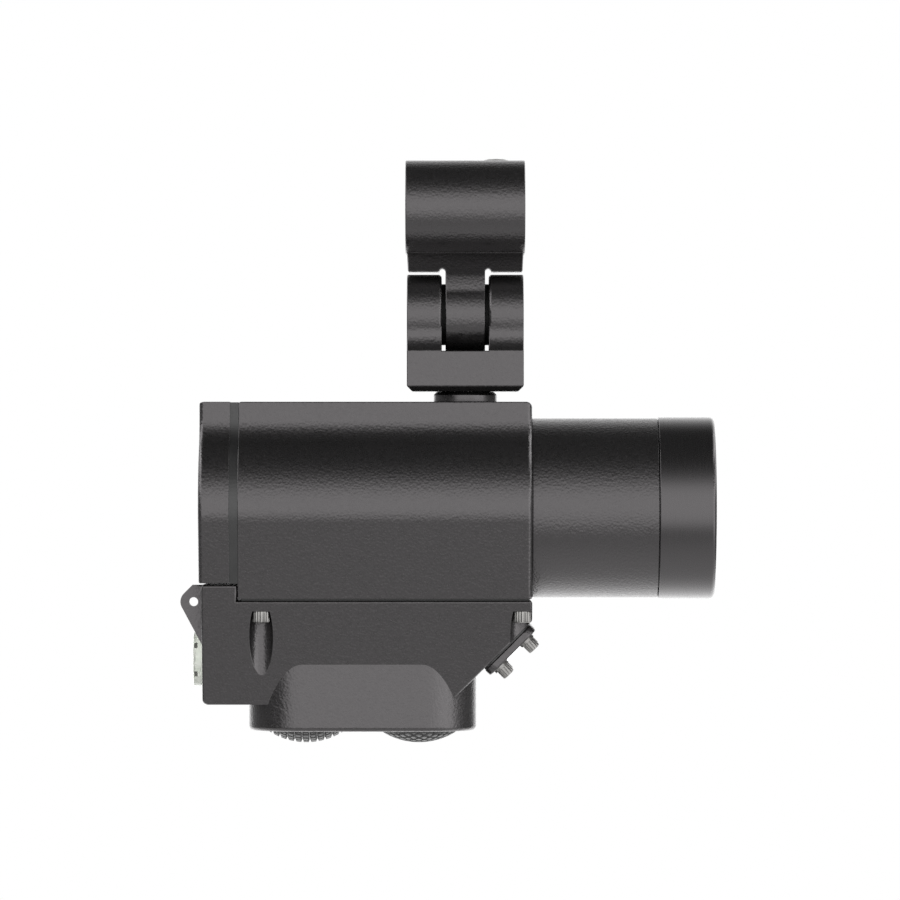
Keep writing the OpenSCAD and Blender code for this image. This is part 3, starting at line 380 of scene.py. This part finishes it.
def door_edge(x, y, z):
    """Broad round the rear face, narrow at the screw holes and toward the gasket."""
    if z < DOOR_LOW + ON_PLANE:
        return DOOR_EDGES["low"]
    if x > DOOR_REAR + ON_PLANE:
        return DOOR_EDGES["crisp"]
    hole = nearest(y, z, door_screw_places()) < DOOR_HOLE_R
    return DOOR_EDGES["crisp"] if hole else DOOR_EDGES["rear"]


def upper_edge(x, y, z):
    """Broad at the front face, softer at the roof, crisp at the seam and at the door."""
    if x > HOUSING_FRONT - ON_PLANE:
        return UPPER_EDGES["front"]
    return UPPER_EDGES["roof"] if z > HOUSING_ROOF - ON_PLANE else UPPER_EDGES["crisp"]


@cache
def housing_screw_places():
    """X and Y of the housing screws' axes."""
    low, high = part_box("housing_screws")
    inset = HOUSING_SCREW["head_d"] / 2 * MM
    return [(x, y) for x in (low.x + inset, high.x - inset) for y in (low.y + inset, high.y - inset)]


def lower_edge(x, y, z):
    """Soft, but crisp along the screw channels and unbroken on the ear and under the floor."""
    if x < LOWER_REAR - ON_PLANE or abs(z - LOWER_FLOOR) < ON_PLANE:
        return LOWER_EDGES["whole"]
    channel = nearest(x, y, housing_screw_places()) < CHANNEL_R
    return LOWER_EDGES["channel"] if channel else LOWER_EDGES["soft"]


# Width in mm of the broken edges of each casting, or what gives it for a place
SOFT_EDGES = {
    "brim_clamp": 0.25,
    "tilt_fork": 0.2,
    "swivel_collar": 0.12,
    "upper_housing": upper_edge,
    "head_barrel": 0.2,
    "bezel_ring": 0.15,
    "battery_door": door_edge,
    "lower_housing": lower_edge,
    "flood_bezel": 0.3,
}
EDGE_TURN = math.cos(math.radians(14))
EDGE_STEPS = 3
WELD_GAP = 0.002
FLAT_TURN = math.radians(0.2)
FACE_WEIGHT = 60


def real_edges(mesh):
    """Touching edges where the faces' own normals turn: their indices, their ends, and if they stand out."""
    spots = [tuple(round(c / MM, 3) for c in vertex.co) for vertex in mesh.vertices]
    meet = {}
    for face in mesh.polygons:
        loops = list(face.loop_indices)
        for loop, after in zip(loops, loops[1:] + loops[:1]):
            ends = {
                spots[mesh.loops[k].vertex_index]: mesh.corner_normals[k].vector.copy()
                for k in (loop, after)
            }
            meet.setdefault(frozenset(ends), []).append((mesh.loops[loop].edge_index, ends, face))
    for places, sides in meet.items():
        if len(sides) != 2 or len(places) != 2:
            continue
        (one, ends, face), (other, far_ends, far_face) = sides
        if any(ends[p].dot(far_ends[p]) < EDGE_TURN for p in places):
            convex = face.normal.dot(far_face.center - face.center) < 0
            yield (one, other), places, convex


def middle(places):
    return [sum(c) / len(places) for c in zip(*places)]


def mark_edges(mesh, width):
    """Marks how far each outer edge is broken and where each inner one is sharp, and returns the widest."""
    broken, sharp = [0.0] * len(mesh.edges), [False] * len(mesh.edges)
    for pair, places, convex in real_edges(mesh):
        for edge in pair:
            if convex:
                broken[edge] = width(*middle(places)) if callable(width) else width
            sharp[edge] = not broken[edge]
    widest = max(broken)
    for name in ("custom_normal", "sharp_edge", "sharp_face"):
        if name in mesh.attributes:
            mesh.attributes.remove(mesh.attributes[name])
    weights = mesh.attributes.new("bevel_weight_edge", "FLOAT", "EDGE")
    weights.data.foreach_set("value", [b / widest for b in broken])
    corners = mesh.attributes.new("sharp_edge", "BOOLEAN", "EDGE")
    corners.data.foreach_set("value", sharp)
    mesh.polygons.foreach_set("use_smooth", [True] * len(mesh.polygons))
    return widest


def soften(name, width):
    """Breaks the sharp edges of a CAD node without touching its own vertices."""
    piece = frame["nodes"][name]
    widest = mark_edges(piece.data, width)
    weld = piece.modifiers.new("weld", "WELD")
    weld.merge_threshold = WELD_GAP * MM
    planes = piece.modifiers.new("planes", "DECIMATE")
    planes.decimate_type = "DISSOLVE"
    planes.angle_limit = FLAT_TURN
    edges = piece.modifiers.new("edges", "BEVEL")
    edges.width = widest * MM
    edges.segments = EDGE_STEPS
    edges.limit_method = "WEIGHT"
    edges.use_clamp_overlap = False
    shade = piece.modifiers.new("shade", "WEIGHTED_NORMAL")
    shade.weight = FACE_WEIGHT
    shade.keep_sharp = True


def one_piece(name, skins):
    """One mesh of closed skins, each over rings of equally many points that a frame puts in place."""
    points, faces = [], []
    for rings, place in skins:
        count, start = len(rings[0]), len(points)
        last = start + (len(rings) - 1) * count
        points += [place @ (Vector(p) * MM) for ring in rings for p in ring]
        for low in range(start, last, count):
            for i in range(count):
                k = (i + 1) % count
                faces.append((low + i, low + k, low + count + k, low + count + i))
        faces.append(tuple(range(start + count - 1, start - 1, -1)))
        faces.append(tuple(range(last, last + count)))
    mesh = bpy.data.meshes.new(name)
    mesh.from_pydata(points, [], faces)
    mesh.validate()
    piece = bpy.data.objects.new(name, mesh)
    bpy.context.collection.objects.link(piece)
    return piece


def circle(radius, z, count, knurl=0.0):
    """One ring of points; with a knurl every second point stands lower."""
    ring = []
    for i in range(count):
        angle = 2 * math.pi * i / count
        r = radius - knurl * (i % 2)
        ring.append((r * math.cos(angle), r * math.sin(angle), z))
    return ring


def hexagon(across, z, count):
    ring = []
    for i in range(count):
        angle = 2 * math.pi * i / count
        r = across / 2 / math.cos((angle + math.pi / 6) % (math.pi / 3) - math.pi / 6)
        ring.append((r * math.cos(angle), r * math.sin(angle), z))
    return ring


# Shares of a screw head's diameter and height, and the broken rims of its key and its shank in mm
KNURL_SHARE = 0.04
LIP_SHARE = 0.09
SOCKET_SHARE = 0.55
KEY_RIM = 0.12
KEY_FLARE = 0.2
POINT_RIM = 0.2


def cap_screw_rings(head_d, head_h, shank_d, shank_l, key, teeth):
    """Rings of a knurled cap screw: seat at z 0, head up, shank down."""
    n = 2 * teeth
    r = head_d / 2
    shank_r = shank_d / 2
    knurl = KNURL_SHARE * head_d
    lip = LIP_SHARE * head_d
    socket = SOCKET_SHARE * head_h
    return [
        hexagon(key, head_h - socket, n),
        hexagon(key, head_h - KEY_RIM, n),
        hexagon(key + KEY_FLARE, head_h, n),
        circle(r - lip, head_h, n),
        circle(r - 0.4 * lip, head_h - 0.35 * lip, n, 0.2 * knurl),
        circle(r, head_h - lip, n, knurl),
        circle(r, 0.12 * head_h, n, knurl),
        circle(r - 0.6 * knurl, 0.0, n),
        circle(shank_r, 0.0, n),
        circle(shank_r, POINT_RIM - shank_l, n),
        circle(shank_r - POINT_RIM, -shank_l, n),
    ]


def shade_by_angle(piece, degrees):
    mesh = piece.data
    mesh.polygons.foreach_set("use_smooth", [True] * len(mesh.polygons))
    mesh.set_sharp_from_angle(angle=math.radians(degrees))


def stand_in(piece, node):
    """Puts a richer piece in the place of a CAD node, on its body and in its finish."""
    old = frame["nodes"][node]
    piece.data.materials.append(old.data.materials[0])
    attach(piece, old["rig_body"])
    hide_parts(node)
    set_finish(piece, old["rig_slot"])


def frame_of(point, outward):
    """A screw's own frame: its seat at point, its head toward outward."""
    return Matrix.Translation(point) @ outward.to_track_quat("Z", "X").to_matrix().to_4x4()


def screw_set(node, seats, size):
    rings = cap_screw_rings(**size)
    piece = one_piece(node + "_knurled", [(rings, place) for place in seats])
    shade_by_angle(piece, 24)
    stand_in(piece, node)


def housing_screws():
    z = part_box("housing_screws")[0].z + HOUSING_SCREW["head_h"] * MM
    seats = [frame_of(Vector((x, y, z)), Vector((0, 0, -1))) for x, y in housing_screw_places()]
    screw_set("housing_screws", seats, HOUSING_SCREW)


def door_screws():
    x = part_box("door_screws")[0].x + DOOR_SCREW["head_h"] * MM
    seats = [frame_of(Vector((x, y, z)), Vector((-1, 0, 0))) for y, z in door_screw_places()]
    screw_set("door_screws", seats, DOOR_SCREW)


def flood_screws():
    low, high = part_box("flood_bezel")
    centre = (low + high) / 2
    outward = Vector((1, 0, -1)).normalized()
    along = Vector((1, 0, 1)).normalized()
    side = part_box("flood_screws")[1].y - FLOOD_SCREW["head_d"] / 2 * MM
    seats = []
    for step in (-0.5, 0.5):
        for y in (-side, side):
            seat = outward * FLOOD_SEAT + along * step * FLOOD_SCREW_SPREAD
            seats.append(frame_of(centre + seat * MM + Vector((0, y, 0)), outward))
    screw_set("flood_screws", seats, FLOOD_SCREW)


# The buttons in mm; the nubs of the waffle in shares of its pitch
BUTTON = dict(neck_r=7.5, dome_h=2.35, flange_r=8.5, flange_low=2.35, flange_t=1.2, plunger_r=2.0)
WAFFLE_PITCH = 1.42
WAFFLE_DEPTH = 0.5
WAFFLE_R = 7.0
WAFFLE_RUN_OUT = 0.25
NUB_HALF = 0.36
NUB_CROWN = 1.6
NUB_FALL = 0.9
BUTTON_RINGS = 72
BUTTON_POINTS = 360


def nub(x, y):
    """0 in the grooves and 1 on top of the square nubs of the waffle."""
    u, v = (abs(c / WAFFLE_PITCH - round(c / WAFFLE_PITCH)) for c in (x, y))
    fill = (u / NUB_HALF) ** 4 + (v / NUB_HALF) ** 4
    return max(0.0, min(1.0, NUB_CROWN - NUB_FALL * fill))


def waffle_rings(turn):
    """Rings of the dome from the middle out: a sphere whose grooves lie deeper than its nubs."""
    neck_r, dome_h = BUTTON["neck_r"], BUTTON["dome_h"]
    sphere_r = (neck_r**2 + dome_h**2) / (2 * dome_h)
    rings = []
    for j in range(1, BUTTON_RINGS + 1):
        r = neck_r * j / BUTTON_RINGS
        sag = sphere_r - math.sqrt(sphere_r**2 - r**2)
        ring = []
        for i in range(BUTTON_POINTS):
            angle = 2 * math.pi * i / BUTTON_POINTS
            high = nub(r * math.cos(angle + turn), r * math.sin(angle + turn)) if r < WAFFLE_R else 0.0
            sunk = WAFFLE_DEPTH * (1.0 - high) * min(1.0, (neck_r - r) / WAFFLE_RUN_OUT)
            ring.append((r * math.cos(angle), r * math.sin(angle), sag + sunk))
        rings.append(ring)
    return rings


def button(node, turn):
    low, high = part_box(node)
    base = Vector(((low.x + high.x) / 2, 0, low.z))
    ledge = BUTTON["dome_h"] + BUTTON["flange_low"]
    top = (high.z - low.z) / MM
    shoulder = ledge + BUTTON["flange_t"]
    steps = [
        (BUTTON["neck_r"], ledge),
        (BUTTON["flange_r"], ledge),
        (BUTTON["flange_r"], shoulder),
        (BUTTON["plunger_r"], shoulder),
        (BUTTON["plunger_r"], top),
    ]
    rings = waffle_rings(turn) + [circle(r, z, BUTTON_POINTS) for r, z in steps]
    piece = one_piece(node + "_waffle", [(rings, Matrix.Translation(base))])
    shade_by_angle(piece, 50)
    stand_in(piece, node)


# The floor in metres, the share of matt paint in its middle, and between which reaches that fades out
FLOOR_Z = -0.16
FLOOR_R = 0.5
FLOOR_SIDES = 96
FLOOR_PAINT = 0.25
FLOOR_FADE = (0.16, 0.4)


def floor_white():
    """Glowing paper that takes a soft shadow under the object, and that one sees through from below."""
    white = bpy.data.materials.new("floor_white")
    white.use_nodes = True
    tree = white.node_tree
    tree.nodes.clear()
    geometry = add_node(tree, "NewGeometry").outputs
    reach = add_node(tree, "VectorMath", {0: geometry["Position"]}, operation="LENGTH").outputs["Value"]
    fade = remap(tree, reach, *FLOOR_FADE, FLOOR_PAINT, 0.0)
    glow = add_node(tree, "Emission", {"Strength": 1.0}).outputs[0]
    paint = add_node(tree, "BsdfDiffuse", {"Color": (0.9, 0.9, 0.9, 1.0)}).outputs[0]
    paper = add_node(tree, "MixShader", {0: fade, 1: glow, 2: paint}).outputs[0]
    through = add_node(tree, "BsdfTransparent").outputs[0]
    sheet = add_node(tree, "MixShader", {0: geometry["Backfacing"], 1: paper, 2: through}).outputs[0]
    add_node(tree, "OutputMaterial", {"Surface": sheet})
    return white


def floor():
    """A pale floor for the eye; the castings mirror the studio, not the floor's near edge."""
    mesh = bpy.data.meshes.new("floor")
    mesh.from_pydata(circle(FLOOR_R, 0.0, FLOOR_SIDES), [], [tuple(range(FLOOR_SIDES))])
    mesh.materials.append(floor_white())
    disc = bpy.data.objects.new("floor", mesh)
    disc.location = (0, 0, FLOOR_Z)
    disc.visible_glossy = False
    disc.visible_diffuse = False
    disc.visible_transmission = False
    disc.visible_shadow = False
    bpy.context.collection.objects.link(disc)


# The studio round the object, as degrees and light: from behind under it to the front at 0,
# and over it to the back again
STUDIO_ROUND = [
    (-180, 2.1), (-150, 2.1), (-132, 1.8), (-116, 1.3), (-100, 0.95), (-84, 0.92), (-72, 0.9), (-60, 0.85),
    (-48, 0.74), (-36, 0.56), (-27, 0.6), (-20, 1.4), (-12, 1.75), (20, 1.75), (28, 1.45), (36, 0.72),
    (44, 0.36), (54, 0.14), (66, 0.08), (84, 0.07), (112, 0.06), (122, 0.13), (132, 0.42), (142, 0.8),
    (152, 1.15), (162, 1.6), (180, 1.8),
]
# The same from behind on the left, over the front at 0, to behind on the right
STUDIO_SIDES = [
    (-180, 0.6), (-165, 0.5), (-130, 0.3), (-100, 0.2), (-66, 0.1), (-54, 0.3), (-44, 1.0), (-38, 2.6),
    (-32, 3.6), (-24, 3.6), (-18, 1.7), (18, 1.7), (24, 4.2), (38, 4.2), (46, 1.9), (58, 2.2),
    (90, 2.2), (100, 0.7), (112, 0.3), (150, 0.14), (168, 0.3), (180, 0.6),
]
# Where the sides take over: by how far a direction leaves the middle, and by its height
SIDE_OUT = (0.45, 0.65)
SIDE_LOW = (-0.6, -0.35)
# How far the side lights reach back over the object, in radians, between these two heights
SIDE_RISE = (0.16, 0.5)
SIDE_LIFT = (-0.4, 3.2)
BRIGHTEST = 5.0


def studio_ramp(tree, angle, stops):
    """Light by an angle in radians from its stops in degrees."""
    ramp = add_node(tree, "ValToRGB", {"Fac": remap(tree, angle, -math.pi, math.pi)})
    elements = ramp.color_ramp.elements
    while len(elements) < len(stops):
        elements.new(0.5)
    for i, (degrees, _) in enumerate(stops):
        elements[i].position = (degrees + 180) / 360
    for i, (_, light) in enumerate(stops):
        elements[i].color = (*[light / BRIGHTEST] * 3, 1.0)
    return ramp.outputs["Color"]


def side_light(tree, x, front, z):
    """Light from the sides, which reaches further back the higher it stands, and its share."""
    lift = reckon(tree, "MULTIPLY", x, remap(tree, z, *SIDE_RISE, *SIDE_LIFT))
    turn = reckon(tree, "ARCTAN2", x, front)
    light = studio_ramp(tree, reckon(tree, "SUBTRACT", turn, lift), STUDIO_SIDES)
    out = remap(tree, reckon(tree, "ABSOLUTE", x), *SIDE_OUT)
    share = reckon(tree, "MULTIPLY", out, remap(tree, z, *SIDE_LOW))
    return light, share


def world():
    """White to the camera, and a soft studio with a dark ceiling to the object."""
    sky = bpy.data.worlds.new("backdrop")
    bpy.context.scene.world = sky
    sky.use_nodes = True
    tree = sky.node_tree
    way = add_node(tree, "TexCoord").outputs["Generated"]
    x, y, z = add_node(tree, "SeparateXYZ", {0: way}).outputs
    front = reckon(tree, "MULTIPLY", y, -1.0)
    over = studio_ramp(tree, reckon(tree, "ARCTAN2", z, front), STUDIO_ROUND)
    beside, share = side_light(tree, x, front, z)
    studio = reckon(tree, "MULTIPLY", blend(tree, share, over, beside), BRIGHTEST)
    seen = add_node(tree, "LightPath").outputs["Is Camera Ray"]
    backdrop = tree.nodes["Background"]
    put(tree, backdrop.inputs["Color"], (1.0, 1.0, 1.0, 1.0))
    put(tree, backdrop.inputs["Strength"], remap(tree, seen, 0.0, 1.0, studio, 1.0))


# The camera in metres, its lens and sensor in mm
EYE = (-0.00289, -1.3, -0.0461)
EYE_LENS = 273.7
EYE_SENSOR = 36
EYE_NEAR = 0.01


def camera():
    lens = bpy.data.cameras.new("camera")
    lens.lens = EYE_LENS
    lens.sensor_width = EYE_SENSOR
    lens.clip_start = EYE_NEAR
    eye = bpy.data.objects.new("camera", lens)
    eye.location = EYE
    eye.rotation_euler = (math.pi / 2, 0, 0)
    bpy.context.collection.objects.link(eye)
    bpy.context.scene.camera = eye


def dress():
    """Every CAD node in its finish, the castings with broken edges."""
    for row in frame["record"]["subparts"]:
        piece = frame["nodes"][row["node"]]
        piece.data.materials.clear()
        piece.data.materials.append(FINISHES[row["material_slot"]])
        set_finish(piece, row["material_slot"])
    for name, width in SOFT_EDGES.items():
        soften(name, width)


dress()
housing_screws()
door_screws()
flood_screws()
button("flood_button", 0.0)
button("spot_button", math.pi / 4)
floor()
world()
camera()
bpy.context.scene.view_settings.view_transform = "Standard"
